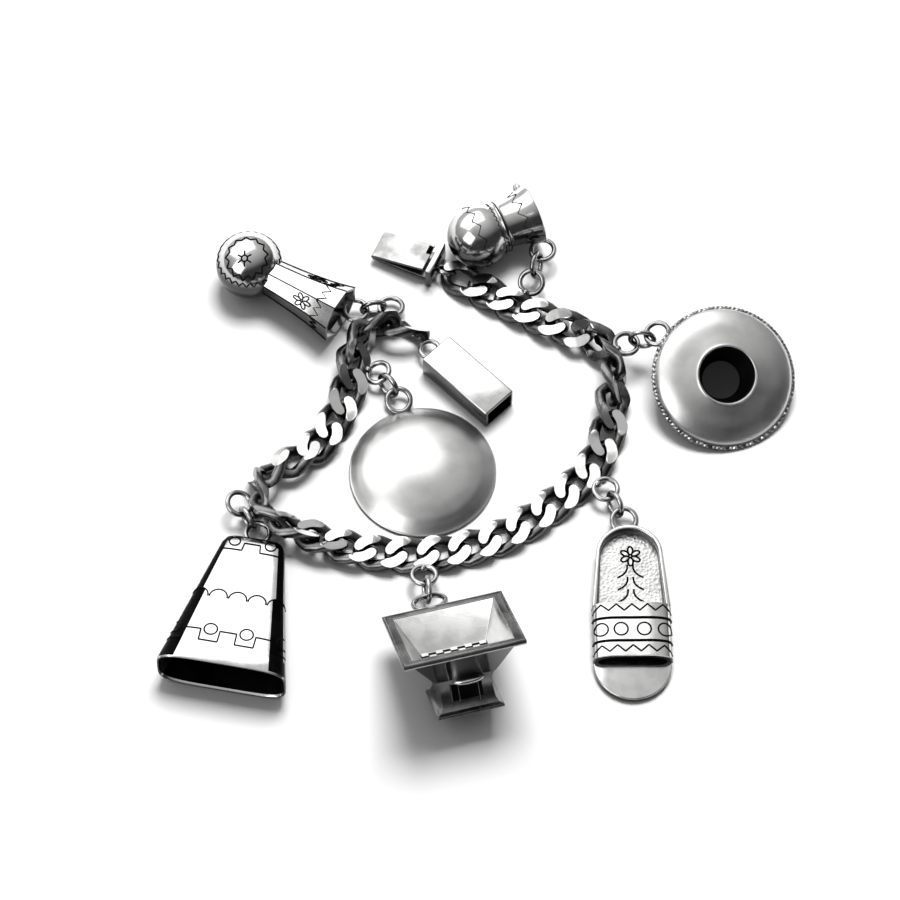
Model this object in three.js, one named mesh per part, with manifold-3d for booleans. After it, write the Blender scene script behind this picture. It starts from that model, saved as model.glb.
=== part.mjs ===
// A silver charm bracelet, unfastened and laid out on a flat surface.
//
// A curb chain of twisted, flat-cut links runs from a folded spring tongue to
// the box it snaps into. Seven charms hang on it: a maraca, a water jug, a
// sombrero, a domed griddle plate, a cowbell, a small brazier and a sandal.
// A loop is soldered to one chain link for each charm, a second loop is
// soldered to the charm, and a jump ring joins the two.
//
// Units are millimetres, +Z is up, and the origin is the middle of the foot
// print on the surface that the bracelet lies on.

import * as THREE from 'three';
import { mergeVertices } from 'three/addons/utils/BufferGeometryUtils.js';
import Module from 'manifold-3d';

const wasm = await Module();
wasm.setup();

// ---------------------------------------------------------------- dimensions

const LINK_WIRE = 1.36;        // thickness of the curb link's wire
const LINK_HALF = 3.65;        // centre of a link to the middle of its end wire
const LINK_WIDTH = 6.3;        // across the wires, before the twist
const LINK_TWIST = -45;        // turn of a link's end against its middle
const LINK_CUT = 2.4;          // thickness left by the flat diamond cut
const LINK_PITCH = 5.12;       // one link to the next
const LINK_SLACK = 0.65;       // how much closer they sit where one stands up
const LINK_LIFT = 3.0;         // raises a link that slopes along the route
const LINK_SIDES = 6;
const LINK_STEPS = 12;

const RING_RADIUS = 1.95;      // middle of a ring's wire
const RING_WIRE = 0.7;
const RING_SIDES = 6;
const RING_STEPS = 10;
const SOLDER_RADIUS = 0.62;
const SOLDER_SEAT = 0.25;      // from the link's skin to the ring's wire

const CLASP_WIDTH = 6.4;
const BOX_LENGTH = 15;
const BOX_HEIGHT = 4.4;
const SHEET = 0.55;            // thickness of the clasp's sheet
const TONGUE_LENGTH = 10.2;
const TONGUE_WIDTH = 5.2;
const TONGUE_LEAF = 0.55;
const TONGUE_OPEN = 2.9;       // how far the spring leaf stands open
const END_PLATE_HEIGHT = 4.6;
const END_PLATE_THICK = 1.0;
const LUG_RADIUS = 1.6;
const LUG_WIRE = 0.8;

const MARACA_BALL = 5.6;
const MARACA_LENGTH = 18;      // middle of the ball to the end of the handle
const MARACA_NECK = 3.3;
const MARACA_MOUTH = 5.0;

const JUG_BALL = 5.4;
const JUG_LENGTH = 10.2;       // middle of the ball to the rim
const JUG_NECK = 3.9;
const JUG_RIM = 4.9;

const BRIM_RADIUS = 12;
const BRIM_DROP = 2.6;         // the brim's edge lies this far under its middle
const BRIM_SHEET = 0.9;
const CROWN_RADIUS = 4.6;      // inside the crown
const CROWN_DEPTH = 5.8;

const GRIDDLE_RADIUS = 12.1;
const DOME_RADIUS = 11.2;
const DOME_RISE = 4.4;
const DOME_SHEET = 0.9;

const BELL_LENGTH = 26;
const BELL_TOP_WIDTH = 9.6;
const BELL_MOUTH_WIDTH = 21;
const BELL_TOP_DEPTH = 4;
const BELL_MOUTH_DEPTH = 8.6;
const BELL_SHEET = 0.8;
const BELL_ROOF = 1.6;         // thickness of the closed end
const BELL_SIDES = 16;
const BELL_CORNER = 30;        // the flats reach this far round, in degrees

const TRAY_SIDE = 19.6;
const TRAY_LIP = 1.1;
const TRAY_FLOOR = 10.6;
const TRAY_DEPTH = 5.4;
const BRAZIER_HEIGHT = 12.6;
const COLUMN_SIDE = 8.6;
const FOOT_SIDE = 10.8;
const FOOT_THICK = 0.7;
const FIRE_WIDTH = 5;
const FIRE_HEIGHT = 4.6;

const SOLE_LENGTH = 30.4;
const SOLE_WIDTH = 12.6;
const SOLE_THICK = 1.1;
const HEEL_WALL = 3;
const STRAP_LENGTH = 9.4;
const STRAP_HEIGHT = 3.9;
const STRAP_SHEET = 0.8;

// The chain's route on the surface, from the tongue to the box. The roll turns
// the links about the route: at each sharp bend they roll over by half a turn,
// which stands the middle one on its edge.
const ROUTE = [
  { x: 2.6, y: 31.9, roll: 0 },
  { x: 11.4, y: 26.7, roll: 0 },
  { x: 15.8, y: 24.1, roll: 8 },
  { x: 20.3, y: 21.6, roll: 28 },
  { x: 24.5, y: 19.0, roll: 60 },
  { x: 26.9, y: 15.0, roll: 92 },
  { x: 27.1, y: 10.2, roll: 124 },
  { x: 26.4, y: 5.1, roll: 155 },
  { x: 25.4, y: 0.1, roll: 176 },
  { x: 22.8, y: -4.6, roll: 180 },
  { x: 16.2, y: -11.4, roll: 180 },
  { x: 7.9, y: -17.0, roll: 180 },
  { x: -1.6, y: -19.8, roll: 180 },
  { x: -12.0, y: -19.8, roll: 180 },
  { x: -18.0, y: -18.6, roll: 190 },
  { x: -23.1, y: -17.0, roll: 212 },
  { x: -27.9, y: -14.9, roll: 240 },
  { x: -30.6, y: -11.6, roll: 270 },
  { x: -30.8, y: -7.4, roll: 300 },
  { x: -27.6, y: -4.2, roll: 330 },
  { x: -22.9, y: -1.2, roll: 352 },
  { x: -19.9, y: 3.0, roll: 360 },
  { x: -17.8, y: 7.4, roll: 366 },
  { x: -16.4, y: 12.0, roll: 388 },
  { x: -16.2, y: 16.6, roll: 414 },
  { x: -14.2, y: 20.6, roll: 446 },
  { x: -10.3, y: 22.4, roll: 476 },
  { x: -5.4, y: 20.0, roll: 506 },
];

const SILVER = {
  polished: { color: 0xc9c9c6, roughness: 0.22, metalness: 1 },
  worn: { color: 0xb4b4b0, roughness: 0.36, metalness: 1 },
};

const UP = new THREE.Vector3(0, 0, 1);
const bracelet = new THREE.Group();

// ------------------------------------------------------------------- helpers

function radians(degrees) {
  return THREE.MathUtils.degToRad(degrees);
}

function solid(geometry) {
  const bare = geometry.clone();
  bare.deleteAttribute('normal');
  bare.deleteAttribute('uv');
  const merged = mergeVertices(bare, 1e-4);
  return new wasm.Manifold(new wasm.Mesh({
    numProp: 3,
    vertProperties: new Float32Array(merged.attributes.position.array),
    triVerts: new Uint32Array(merged.index.array),
  }));
}

function geometryOf(manifold) {
  const mesh = manifold.getMesh();
  const geometry = new THREE.BufferGeometry();
  const position = new THREE.BufferAttribute(new Float32Array(mesh.vertProperties), 3);
  geometry.setAttribute('position', position);
  geometry.setIndex(new THREE.BufferAttribute(new Uint32Array(mesh.triVerts), 1));
  geometry.computeVertexNormals();
  return geometry;
}

function addMesh(name, manifold, finish, matrix = new THREE.Matrix4()) {
  const material = new THREE.MeshStandardMaterial(SILVER[finish]);
  const mesh = new THREE.Mesh(geometryOf(manifold), material);
  mesh.name = name;
  mesh.applyMatrix4(matrix);
  bracelet.add(mesh);
  return mesh;
}

function block(width, depth, height, x = 0, y = 0, z = 0) {
  return solid(new THREE.BoxGeometry(width, depth, height).translate(x, y, z));
}

// A body turned about Z from an outline of [radius, height] points.
function turned(outline, steps = 24) {
  const points = outline.map(([radius, height]) => new THREE.Vector2(radius, height));
  const geometry = new THREE.LatheGeometry(points, steps);
  return solid(geometry.rotateX(Math.PI / 2));
}

// A body extruded along +Z from an outline.
function extruded(shape, depth, curveSegments = 8) {
  return solid(new THREE.ExtrudeGeometry(shape, { depth, bevelEnabled: false, curveSegments }));
}

// A four-sided taper from one rectangle to a larger or smaller one above it.
function taper(low, high) {
  const geometry = new THREE.BoxGeometry(1, 1, 1);
  const position = geometry.attributes.position;
  for (let i = 0; i < position.count; i += 1) {
    const end = position.getZ(i) < 0 ? low : high;
    position.setXYZ(i, position.getX(i) * end.width, position.getY(i) * end.depth, end.z);
  }
  return solid(geometry);
}

// The place of a ring whose plane holds the direction `along`. A lean of 0
// lays the ring flat and a lean of 90 stands it on its edge.
function ringPlace(centre, along, lean) {
  const x = along.clone().normalize();
  const up = Math.abs(x.z) > 0.99 ? new THREE.Vector3(1, 0, 0) : UP.clone();
  const flat = up.addScaledVector(x, -up.dot(x)).normalize();
  const z = flat.applyAxisAngle(x, radians(lean));
  const y = z.clone().cross(x);
  return new THREE.Matrix4().makeBasis(x, y, z).setPosition(centre);
}

function ring(radius, wire, steps = RING_STEPS) {
  return solid(new THREE.TorusGeometry(radius, wire / 2, RING_SIDES, steps));
}

function ringAt(centre, along, lean, radius = RING_RADIUS, wire = RING_WIRE) {
  return ring(radius, wire).transform(ringPlace(centre, along, lean).elements);
}

function ball(radius, centre, around = 8, down = 6) {
  const geometry = new THREE.SphereGeometry(radius, around, down);
  return solid(geometry.translate(centre.x, centre.y, centre.z));
}

// --------------------------------------------------------------------- chain

// One curb link: a ring stretched along X, twisted about X and cut flat.
function curbLink() {
  const radius = (LINK_WIDTH - LINK_WIRE) / 2;
  const straight = LINK_HALF - radius;
  const geometry = new THREE.TorusGeometry(radius, LINK_WIRE / 2, LINK_SIDES, LINK_STEPS);
  const position = geometry.attributes.position;
  for (let i = 0; i < position.count; i += 1) {
    const y = position.getY(i);
    const z = position.getZ(i);
    const side = Math.abs(position.getX(i)) < 1e-6 ? 0 : Math.sign(position.getX(i));
    const x = position.getX(i) + side * straight;
    const turn = radians(LINK_TWIST) * (x / LINK_HALF);
    const cos = Math.cos(turn);
    const sin = Math.sin(turn);
    position.setXYZ(i, side === 0 ? 0 : x, y * cos - z * sin, y * sin + z * cos);
  }
  return solid(geometry).intersect(block(3 * LINK_WIDTH, 3 * LINK_WIDTH, LINK_CUT));
}

// The height of a rolled link's middle when its lowest point is on the surface.
function restHeight(roll) {
  const { vertProperties } = link.getMesh();
  const cos = Math.cos(radians(roll));
  const sin = Math.sin(radians(roll));
  let lowest = 0;
  for (let i = 0; i < vertProperties.length; i += 3) {
    lowest = Math.min(lowest, vertProperties[i + 1] * sin + vertProperties[i + 2] * cos);
  }
  return -lowest;
}

// Walks along the route and gives each link's place.
function linkPlaces() {
  const points = ROUTE.map(({ x, y, roll }) => new THREE.Vector3(x, y, restHeight(roll)));
  const curve = new THREE.CatmullRomCurve3(points, false, 'centripetal');
  const spots = [];
  const steps = 6000;
  for (let i = 0; i <= steps; i += 1) {
    const at = (i / steps) * (ROUTE.length - 1);
    const row = Math.min(Math.floor(at), ROUTE.length - 2);
    const roll = THREE.MathUtils.lerp(ROUTE[row].roll, ROUTE[row + 1].roll, at - row);
    const pitch = LINK_PITCH - LINK_SLACK * Math.abs(Math.sin(radians(roll)));
    const point = curve.getPoint(i / steps);
    const last = spots[spots.length - 1];
    if (!last || point.distanceTo(last.point) >= pitch) {
      spots.push({ point, roll });
    }
  }
  return spots.map(({ point, roll }, i) => {
    const before = spots[Math.max(i - 1, 0)].point;
    const after = i + 1 < spots.length ? spots[i + 1].point : curve.getPoint(1);
    const along = after.clone().sub(before).normalize();
    const lift = LINK_LIFT * Math.abs(along.z);
    return ringPlace(point.clone().setZ(point.z + lift), along, roll);
  });
}

const link = curbLink();
const places = linkPlaces();

// Where each charm's loop is soldered to the chain: the link, and the place
// that the middle of the loop is aimed at.
const SOLDERED = {
  jug: { link: 3, aim: new THREE.Vector3(13.8, 31.2, 2.6) },
  sombrero: { link: 7, aim: new THREE.Vector3(29.4, 17.4, 5.5) },
  sandal: { link: 12, aim: new THREE.Vector3(25.6, -8.9, 2.4) },
  brazier: { link: 18, aim: new THREE.Vector3(-4.2, -25.0, 3.0) },
  cowbell: { link: 24, aim: new THREE.Vector3(-33.9, -11.8, 3.0) },
  plate: { link: 30, aim: new THREE.Vector3(-11.9, 13.5, 2.2) },
  maraca: { link: 33, aim: new THREE.Vector3(-9.9, 25.6, 2.0) },
};

const loops = {};

// The point of a placed link's skin that is nearest to a target.
function skinNear(place, target) {
  const { vertProperties } = link.getMesh();
  const point = new THREE.Vector3();
  const best = new THREE.Vector3(Infinity, 0, 0);
  for (let i = 0; i < vertProperties.length; i += 3) {
    point.fromArray(vertProperties, i).applyMatrix4(place);
    if (point.distanceTo(target) < best.distanceTo(target)) {
      best.copy(point);
    }
  }
  return best;
}

// A loop with a bead of solder, moved along its aim until it touches the link.
function solderedLoop(charm, place) {
  const { aim } = SOLDERED[charm];
  const seat = skinNear(place, aim);
  const reach = aim.clone().sub(seat).normalize();
  const centre = seat.clone().addScaledVector(reach, RING_RADIUS + SOLDER_SEAT);
  const matrix = ringPlace(centre, reach, 0);
  const normal = new THREE.Vector3().setFromMatrixColumn(matrix, 2);
  loops[charm] = { centre, normal, radius: RING_RADIUS };
  return ringAt(centre, reach, 0).add(ball(SOLDER_RADIUS, seat));
}

function chain() {
  places.forEach((place, i) => {
    const charm = Object.keys(SOLDERED).find((name) => SOLDERED[name].link === i + 1);
    const toLink = place.clone().invert().elements;
    const body = charm ? link.add(solderedLoop(charm, place).transform(toLink)) : link;
    const number = String(i + 1).padStart(2, '0');
    addMesh(`curb_link_${number}`, body, 'polished', place);
  });
}

chain();

// --------------------------------------------------------------------- clasp

// The box's mouth is at its +X end, and its lug at its -X end.
function claspBox() {
  const shell = block(BOX_LENGTH, CLASP_WIDTH, BOX_HEIGHT, BOX_LENGTH / 2, 0, BOX_HEIGHT / 2);
  const inner = block(
    BOX_LENGTH,
    CLASP_WIDTH - 2 * SHEET,
    BOX_HEIGHT - 2 * SHEET,
    BOX_LENGTH / 2 + SHEET,
    0,
    BOX_HEIGHT / 2,
  );
  const lugCentre = new THREE.Vector3(-LUG_RADIUS + 0.2, 0, BOX_HEIGHT / 2 - 0.2);
  const lug = ringAt(lugCentre, new THREE.Vector3(1, 0, 0), 0, LUG_RADIUS, LUG_WIRE);
  const outside = block(12, 12, 12, -6 + SHEET / 2, 0, BOX_HEIGHT / 2);
  return shell.subtract(inner).add(lug.intersect(outside));
}

// The tongue is one strip folded back on itself: the fold is at -X, the lower
// leaf is fixed to the end plate and the upper leaf springs open over it.
function claspTongue() {
  const side = new THREE.Shape();
  const low = 1.0;
  side.moveTo(0, low);
  side.lineTo(-TONGUE_LENGTH, low);
  side.lineTo(-TONGUE_LENGTH - 0.35, low + TONGUE_LEAF);
  side.lineTo(-TONGUE_LENGTH, low + 2 * TONGUE_LEAF + 0.1);
  side.lineTo(-0.9, low + TONGUE_OPEN);
  side.lineTo(-0.9, low + TONGUE_OPEN - TONGUE_LEAF);
  side.lineTo(-TONGUE_LENGTH + 0.8, low + TONGUE_LEAF + 0.1);
  side.lineTo(-TONGUE_LENGTH + 0.8, low + TONGUE_LEAF);
  side.lineTo(0, low + TONGUE_LEAF);
  const strip = extruded(side, TONGUE_WIDTH)
    .transform(new THREE.Matrix4().makeRotationX(Math.PI / 2).elements)
    .translate([0, TONGUE_WIDTH / 2, 0]);
  const plate = block(END_PLATE_THICK, CLASP_WIDTH, END_PLATE_HEIGHT)
    .translate([END_PLATE_THICK / 2 - 0.2, 0, END_PLATE_HEIGHT / 2]);
  const lugCentre = new THREE.Vector3(END_PLATE_THICK + LUG_RADIUS - 0.45, 0, 1.55);
  const lug = ringAt(lugCentre, new THREE.Vector3(1, 0, 0), -45, LUG_RADIUS, LUG_WIRE);
  const outside = block(12, 12, 12, 6 + END_PLATE_THICK / 2, 0, END_PLATE_HEIGHT / 2);
  return strip.add(plate).add(lug.intersect(outside));
}

function standing(x, y, z, turn) {
  return new THREE.Matrix4().makeRotationZ(radians(turn)).setPosition(x, y, z);
}

addMesh('clasp_tongue', claspTongue(), 'polished', standing(-2.75, 34.7, 0, -24));
addMesh('clasp_box', claspBox(), 'polished', standing(-2.4, 17.1, 0, -45));

// -------------------------------------------------------------------- charms

const X = new THREE.Vector3(1, 0, 0);
const Y = new THREE.Vector3(0, 1, 0);

// A soldered loop in a charm's own frame.
function charmLoop(x, y, z, along, lean, radius = RING_RADIUS) {
  const centre = new THREE.Vector3(x, y, z);
  const normal = new THREE.Vector3().setFromMatrixColumn(ringPlace(centre, along, lean), 2);
  return { centre, normal, radius, body: ringAt(centre, along, lean, radius) };
}

const hung = {};

function addCharm(name, node, body, loop, place, finish = 'polished') {
  addMesh(node, body.add(loop.body), finish, place);
  const centre = loop.centre.clone().applyMatrix4(place);
  const normal = loop.normal.clone().transformDirection(place);
  hung[name] = { centre, normal, radius: loop.radius };
}

// A rattle: a ball with a long eight-sided handle that flares to its end.
function maraca() {
  const head = turned([[0, -MARACA_BALL], [MARACA_BALL * 0.5, -MARACA_BALL * 0.866],
    [MARACA_BALL * 0.866, -MARACA_BALL * 0.5], [MARACA_BALL, 0],
    [MARACA_BALL * 0.866, MARACA_BALL * 0.5], [MARACA_BALL * 0.5, MARACA_BALL * 0.866],
    [0, MARACA_BALL]], 18);
  const handle = turned([[0, 3.4], [MARACA_NECK, 3.4], [MARACA_MOUTH, MARACA_LENGTH],
    [MARACA_MOUTH - 0.7, MARACA_LENGTH], [MARACA_MOUTH - 1.1, MARACA_LENGTH - 0.9],
    [0, MARACA_LENGTH - 0.9]], 8).rotate([0, 0, 22.5]);
  return head.add(handle).transform(new THREE.Matrix4().makeRotationY(Math.PI / 2).elements);
}

const maracaLoop = charmLoop(MARACA_LENGTH + 1.0, 3.2, -2.6, X, 0);
const maracaPlace = new THREE.Matrix4()
  .makeRotationFromEuler(new THREE.Euler(0, radians(1.5), radians(-31), 'ZYX'))
  .setPosition(-33.7, 32.4, MARACA_BALL);
addCharm('maraca', 'charm_maraca', maraca(), maracaLoop, maracaPlace);

// A round water jug with a wide, flared neck.
function jug() {
  const b = JUG_BALL;
  const body = turned([[0, -b], [b * 0.5, -b * 0.866], [b * 0.866, -b * 0.5], [b, 0],
    [b * 0.866, b * 0.5], [JUG_NECK, b * 0.72], [JUG_NECK + 0.15, b * 0.8],
    [JUG_NECK - 0.2, b * 0.95], [JUG_NECK + 0.1, b * 1.35], [JUG_RIM, JUG_LENGTH],
    [JUG_RIM - 0.7, JUG_LENGTH], [JUG_NECK - 0.9, b * 1.4], [0, b * 1.3]], 18);
  return body.transform(new THREE.Matrix4().makeRotationY(Math.PI / 2).elements);
}

const jugLoop = charmLoop(JUG_LENGTH - 1.2, -5.9, -2.4, Y, 0);
const jugPlace = new THREE.Matrix4()
  .makeRotationFromEuler(new THREE.Euler(0, radians(-4), radians(24), 'ZYX'))
  .setPosition(4.9, 38.3, JUG_BALL);
addCharm('jug', 'charm_jug', jug(), jugLoop, jugPlace);

// A sombrero lying on its crown: the hollow of the crown faces up, and the
// brim curves down around it to a rope edge.
function sombrero() {
  const rim = BRIM_RADIUS;
  const outline = [[0, -CROWN_DEPTH - BRIM_SHEET], [2.6, -CROWN_DEPTH - BRIM_SHEET],
    [4.0, -CROWN_DEPTH + 0.4], [CROWN_RADIUS + 0.7, -BRIM_SHEET - 0.9], [rim * 0.75, -1.75 - BRIM_SHEET],
    [rim - 0.2, -BRIM_DROP - BRIM_SHEET], [rim, -BRIM_DROP - 0.2], [rim * 0.93, -BRIM_DROP * 0.72],
    [rim * 0.75, -BRIM_DROP * 0.36], [rim * 0.55, -BRIM_DROP * 0.1], [CROWN_RADIUS + 0.5, 0.15],
    [CROWN_RADIUS, -0.1], [CROWN_RADIUS - 0.3, -1.2], [3.2, -CROWN_DEPTH + 0.6],
    [2.2, -CROWN_DEPTH], [0, -CROWN_DEPTH]];
  return turned(outline, 24);
}

const sombreroLoop = charmLoop(-11.2, 6.8, -4.1, new THREE.Vector3(-1, 0.6, -0.6), 0);
const sombreroPlace = new THREE.Matrix4()
  .makeRotationFromEuler(new THREE.Euler(radians(21), radians(8), 0, 'ZYX'))
  .setPosition(45.6, 9.9, 7.6);
addCharm('sombrero', 'charm_sombrero', sombrero(), sombreroLoop, sombreroPlace);

// A domed griddle plate with a thin flat flange.
function griddle() {
  const outer = [[GRIDDLE_RADIUS, 0], [GRIDDLE_RADIUS, 0.7], [DOME_RADIUS, 0.75],
    [DOME_RADIUS * 0.86, 2.0], [DOME_RADIUS * 0.62, 3.3], [DOME_RADIUS * 0.32, 4.15], [0, DOME_RISE]];
  const inner = [[0, DOME_RISE - DOME_SHEET], [DOME_RADIUS * 0.32, 4.15 - DOME_SHEET],
    [DOME_RADIUS * 0.6, 3.3 - DOME_SHEET], [DOME_RADIUS * 0.83, 2.0 - DOME_SHEET], [DOME_RADIUS * 0.93, 0]];
  return turned([...inner, ...outer], 24);
}

const plateLoop = charmLoop(-4.0, GRIDDLE_RADIUS + 0.9, 1.3, new THREE.Vector3(-0.2, 1, 0.4), 0);
addCharm('plate', 'charm_griddle', griddle(), plateLoop, standing(-4.5, -4.3, 0, 0));

// A flattened column with rounded corners, from the bell's mouth at z = 0 up
// to its top, drawn in on all sides by `inset`.
function bellBody(inset, low, high) {
  const geometry = new THREE.CylinderGeometry(1, 1, 1, BELL_SIDES, 1);
  geometry.rotateX(Math.PI / 2);
  const position = geometry.attributes.position;
  const roundest = Math.cos(radians(BELL_CORNER));
  for (let i = 0; i < position.count; i += 1) {
    const top = position.getZ(i) > 0;
    const width = (top ? BELL_TOP_WIDTH : BELL_MOUTH_WIDTH) / 2 - inset;
    const depth = (top ? BELL_TOP_DEPTH : BELL_MOUTH_DEPTH) / 2 - inset;
    const x = THREE.MathUtils.clamp(position.getX(i) / roundest, -1, 1);
    const y = THREE.MathUtils.clamp(position.getY(i) / roundest, -1, 1);
    position.setXYZ(i, x * width, y * depth, top ? high : low);
  }
  return solid(geometry);
}

// A flattened cowbell, open at its mouth. It lies on its back.
function cowbell() {
  const outer = bellBody(0, 0, BELL_LENGTH);
  const inner = bellBody(BELL_SHEET, -0.5, BELL_LENGTH - BELL_ROOF);
  return outer.subtract(inner);
}

const bellLoop = charmLoop(0, 0, BELL_LENGTH + 1.5, UP, 90);
const bellLie = Math.atan((BELL_MOUTH_DEPTH - BELL_TOP_DEPTH) / 2 / BELL_LENGTH);
const bellPlace = new THREE.Matrix4()
  .makeRotationFromEuler(new THREE.Euler(-Math.PI / 2 - bellLie, 0, radians(-10.5), 'ZYX'))
  .setPosition(-36.2, -43.5, BELL_MOUTH_DEPTH / 2 + 0.1);
addCharm('cowbell', 'charm_cowbell', cowbell(), bellLoop, bellPlace);

// A brazier: a square hopper tray over a hollow fire box on a flared foot.
function brazier() {
  const neck = BRAZIER_HEIGHT - TRAY_DEPTH - 1;
  const lip = block(TRAY_SIDE, TRAY_SIDE, 0.8, 0, 0, BRAZIER_HEIGHT - 0.4);
  const hopper = taper(
    { width: COLUMN_SIDE + 1.6, depth: COLUMN_SIDE + 1.6, z: neck },
    { width: TRAY_SIDE - 1, depth: TRAY_SIDE - 1, z: BRAZIER_HEIGHT - 0.3 },
  );
  const open = TRAY_SIDE - 2 * TRAY_LIP + 0.3;
  const bowl = taper(
    { width: TRAY_FLOOR, depth: TRAY_FLOOR * 0.8, z: BRAZIER_HEIGHT - TRAY_DEPTH },
    { width: open, depth: open, z: BRAZIER_HEIGHT + 0.1 },
  );
  const column = block(COLUMN_SIDE, COLUMN_SIDE, neck + 0.5, 0, 0, (neck + 0.5) / 2);
  const fire = block(FIRE_WIDTH, COLUMN_SIDE, FIRE_HEIGHT, 0, -0.8, FOOT_THICK + FIRE_HEIGHT / 2);
  const foot = taper(
    { width: FOOT_SIDE, depth: FOOT_SIDE, z: 0 },
    { width: COLUMN_SIDE + 0.4, depth: COLUMN_SIDE + 0.4, z: FOOT_THICK + 0.6 },
  );
  return lip.add(hopper).add(column).add(foot).subtract(bowl).subtract(fire);
}

const brazierLoop = charmLoop(-1.6, TRAY_SIDE / 2 + 2.3, BRAZIER_HEIGHT - 0.4, Y, 0, 2.6);
const brazierPlace = new THREE.Matrix4()
  .makeRotationFromEuler(new THREE.Euler(radians(-39), radians(0), radians(14), 'ZYX'))
  .setPosition(2.4, -46.9, 3.4);
addCharm('brazier', 'charm_brazier', brazier(), brazierLoop, brazierPlace);

// A sandal: a flat sole with a low wall round the heel and a wide arched
// strap over the foot. The heel is at +Y.
function soleShape(inset) {
  const half = SOLE_WIDTH / 2 - inset;
  const heel = half * 0.86;
  const end = SOLE_LENGTH / 2 - inset;
  const shape = new THREE.Shape();
  shape.moveTo(half, -4);
  shape.lineTo(heel, 8.5);
  shape.absarc(0, end - heel, heel, 0, Math.PI);
  shape.lineTo(-half, -4);
  shape.absarc(0, -end + half, half, Math.PI, 2 * Math.PI);
  return shape;
}

function sandal() {
  const sole = extruded(soleShape(0), SOLE_THICK);
  const cup = extruded(soleShape(0), HEEL_WALL)
    .subtract(extruded(soleShape(1.3), HEEL_WALL + 2))
    .intersect(block(30, 20, 20, 0, 10.5, 0));
  const arch = new THREE.Shape();
  const half = SOLE_WIDTH / 2;
  const under = STRAP_HEIGHT - STRAP_SHEET;
  arch.moveTo(-half, 0);
  arch.lineTo(-half, 1.6);
  arch.quadraticCurveTo(-half, STRAP_HEIGHT + 0.1, -half + 2.6, STRAP_HEIGHT);
  arch.lineTo(half - 2.6, STRAP_HEIGHT);
  arch.quadraticCurveTo(half, STRAP_HEIGHT + 0.1, half, 1.6);
  arch.lineTo(half, 0);
  arch.lineTo(half - STRAP_SHEET, 0);
  arch.lineTo(half - STRAP_SHEET, 1.6);
  arch.quadraticCurveTo(half - STRAP_SHEET, under, half - 2.8, under);
  arch.lineTo(-half + 2.8, under);
  arch.quadraticCurveTo(-half + STRAP_SHEET, under, -half + STRAP_SHEET, 1.6);
  arch.lineTo(-half + STRAP_SHEET, 0);
  const strap = extruded(arch, STRAP_LENGTH, 4)
    .transform(new THREE.Matrix4().makeRotationX(Math.PI / 2).elements)
    .translate([0, 0.6, 0]);
  return sole.add(cup).add(strap);
}

const sandalLoop = charmLoop(-0.6, SOLE_LENGTH / 2 + 1.4, 1.7, new THREE.Vector3(0, 1, 0.3), 0);
addCharm('sandal', 'charm_sandal', sandal(), sandalLoop, standing(29.1, -30.6, 0, 0.5));

// The point on a loop's wire that is nearest to a target.
function nearest(loop, target) {
  const way = target.clone().sub(loop.centre).projectOnPlane(loop.normal);
  return loop.centre.clone().addScaledVector(way.normalize(), loop.radius);
}

// A jump ring joins each charm's loop to the loop on the chain. It stands
// square to both, and holds the far wire of one and the near wire of the other.
const JUMP_LEAN = {
  jug: 75, sombrero: 80, sandal: 78, brazier: 80, cowbell: 90, plate: 78, maraca: 85,
};

for (const [charm, lean] of Object.entries(JUMP_LEAN)) {
  const from = nearest(loops[charm], hung[charm].centre);
  const to = nearest(hung[charm], loops[charm].centre);
  const along = to.clone().sub(from);
  const centre = from.clone().addScaledVector(along, 0.5);
  centre.z = Math.max(centre.z, RING_RADIUS + RING_WIRE / 2);
  const place = ringPlace(centre, along, lean);
  addMesh(`jump_ring_${charm}`, ring(RING_RADIUS, RING_WIRE), 'worn', place);
}

// The origin goes to the middle of the footprint.
const bounds = new THREE.Box3().setFromObject(bracelet, true);
const middle = bounds.getCenter(new THREE.Vector3());
for (const mesh of bracelet.children) {
  mesh.position.sub(new THREE.Vector3(middle.x, middle.y, bounds.min.z));
}

export default bracelet;
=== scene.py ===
# %% [markdown]
# # A silver charm bracelet
# The bracelet lies open on a pale table: a curb chain, a box clasp and seven
# charms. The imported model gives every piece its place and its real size, and
# each piece here is a finer version that stands where its plain solid is.

# %% Frame and tools
import math

import bmesh
import bpy
import numpy as np
from mathutils import Matrix, Quaternion, Vector
from mathutils.bvhtree import BVHTree


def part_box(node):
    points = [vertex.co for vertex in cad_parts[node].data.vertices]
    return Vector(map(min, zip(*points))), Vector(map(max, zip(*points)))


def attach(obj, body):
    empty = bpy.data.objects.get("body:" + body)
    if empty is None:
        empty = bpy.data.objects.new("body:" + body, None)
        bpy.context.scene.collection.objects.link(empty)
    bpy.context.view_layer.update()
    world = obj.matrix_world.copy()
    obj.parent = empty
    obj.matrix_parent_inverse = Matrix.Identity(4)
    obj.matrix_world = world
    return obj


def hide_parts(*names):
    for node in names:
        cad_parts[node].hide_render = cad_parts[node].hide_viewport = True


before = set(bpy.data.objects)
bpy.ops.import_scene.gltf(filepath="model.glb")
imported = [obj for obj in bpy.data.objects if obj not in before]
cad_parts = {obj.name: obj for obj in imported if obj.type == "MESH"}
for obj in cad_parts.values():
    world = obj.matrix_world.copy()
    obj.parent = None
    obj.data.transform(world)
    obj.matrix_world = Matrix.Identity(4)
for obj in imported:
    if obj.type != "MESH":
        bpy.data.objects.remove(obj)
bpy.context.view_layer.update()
MM = 0.001
print("nodes:", len(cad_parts))

# %% [markdown]
# Metal is all reflection, so its material is short: a white base, full
# metalness and a low roughness that changes a little over the surface. One
# small class turns Python sums into Math nodes, and one method makes any node.

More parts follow.
